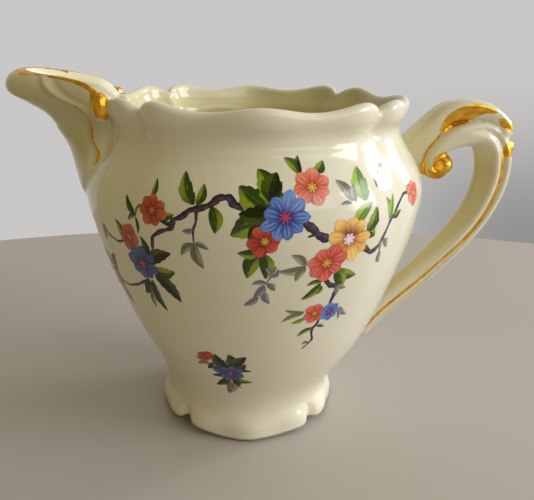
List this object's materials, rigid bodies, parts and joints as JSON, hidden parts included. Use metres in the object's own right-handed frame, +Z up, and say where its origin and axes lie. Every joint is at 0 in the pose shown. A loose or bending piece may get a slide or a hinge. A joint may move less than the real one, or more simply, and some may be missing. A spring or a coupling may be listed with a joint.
{
  "type": "cream jug",
  "caption": "Small lobed porcelain jug with a beaked spout, a scrolled loop handle, a scalloped foot, gilt edges and painted flower sprays.",
  "frame": {"origin": "centre of the foot, on the plane that the jug stands on", "axes": "+Z up; +X towards the handle, -X towards the spout; -Y towards the main painted face"},
  "size_m": [0.1345, 0.0896, 0.0973],
  "materials": {
    "body": "glossy ivory glaze over porcelain, with painted flower sprays",
    "foot_ring": "glossy ivory glaze",
    "resting_ring": "bare fired porcelain, matt",
    "spout": "glossy ivory glaze",
    "handle_strap": "glossy ivory glaze",
    "handle_root": "glossy ivory glaze",
    "scroll_eye": "burnished gilding over porcelain, lightly worn",
    "spout_gilding": "burnished gilding, lightly worn",
    "strap_gilding": "burnished gilding, brushed on as a line",
    "leaf_gilding": "burnished gilding, lightly worn"
  },
  "bodies": {
    "root": {"body": "body", "foot_ring": "foot_ring", "resting_ring": "resting_ring", "spout": "spout", "handle_strap": "handle_strap", "handle_root": "handle_root", "scroll_eye": "scroll_eye", "spout_gilding": "spout_gilding", "strap_gilding": "strap_gilding", "leaf_gilding": "leaf_gilding"}
  },
  "joints": []
}
